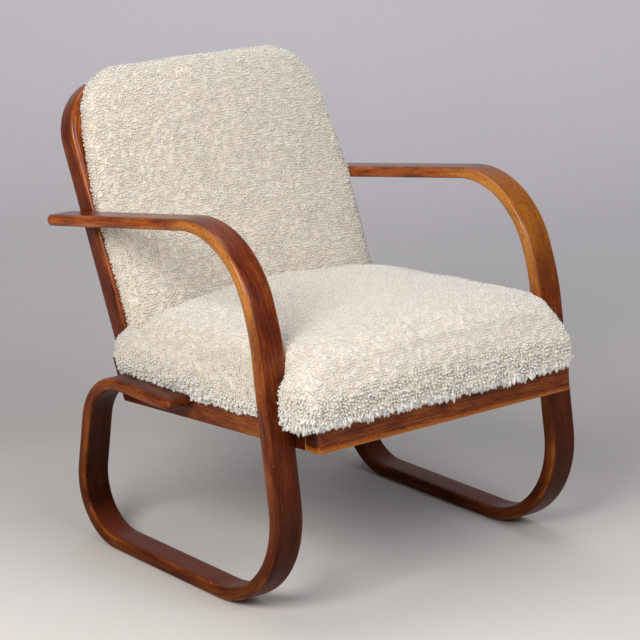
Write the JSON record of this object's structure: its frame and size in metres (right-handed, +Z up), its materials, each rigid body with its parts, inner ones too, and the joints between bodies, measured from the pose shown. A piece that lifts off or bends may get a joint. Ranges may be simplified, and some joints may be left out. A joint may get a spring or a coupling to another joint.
{
  "type": "easy chair",
  "caption": "Low easy chair on two bent-wood loop side frames, with a raked hoop back and a seat and back covered in curly cream fleece.",
  "frame": {"origin": "on the floor, under the middle of the chair's width and depth", "axes": "+Z up, the chair faces -Y, and -X is the sitter's right"},
  "size_m": [0.61, 0.7192, 0.7442],
  "materials": {
    "stained_wood": "stained and lacquered, glossy",
    "plain_wood": "planed, unfinished",
    "dowel_wood": "turned beech",
    "screw_steel": "dull",
    "tack_steel": "blued",
    "jute": "woven",
    "hessian": "open weave",
    "padding": "matted",
    "fleece": "curly pile",
    "cover_cloth": "plain weave",
    "dust_cloth": "plain weave"
  },
  "bodies": {
    "root": {"side_frame_right": "stained_wood", "side_frame_left": "stained_wood", "seat_front_rail": "stained_wood", "seat_rear_rail": "plain_wood", "seat_side_rail_right": "stained_wood", "seat_side_rail_left": "stained_wood", "corner_blocks": "plain_wood", "corner_block_screws": "screw_steel", "front_rail_dowels": "dowel_wood", "rear_rail_dowels": "dowel_wood", "leg_screws": "screw_steel", "stub_screws": "screw_steel", "seat_dust_cover": "dust_cloth", "dust_cover_tacks": "tack_steel", "back_hoop": "stained_wood", "back_lower_rail": "plain_wood", "lower_rail_dowels": "dowel_wood", "stile_dowels": "dowel_wood", "arm_screws": "screw_steel", "back_rear_cover": "cover_cloth", "rear_cover_tacks": "tack_steel", "seat_webbing_lengthwise": "jute", "seat_webbing_crosswise": "jute", "seat_hessian": "hessian", "back_webbing_upright": "jute", "back_webbing_crosswise": "jute", "back_hessian": "hessian", "seat_padding": "padding", "seat_fleece": "fleece", "back_padding": "padding", "back_fleece": "fleece"}
  },
  "joints": []
}
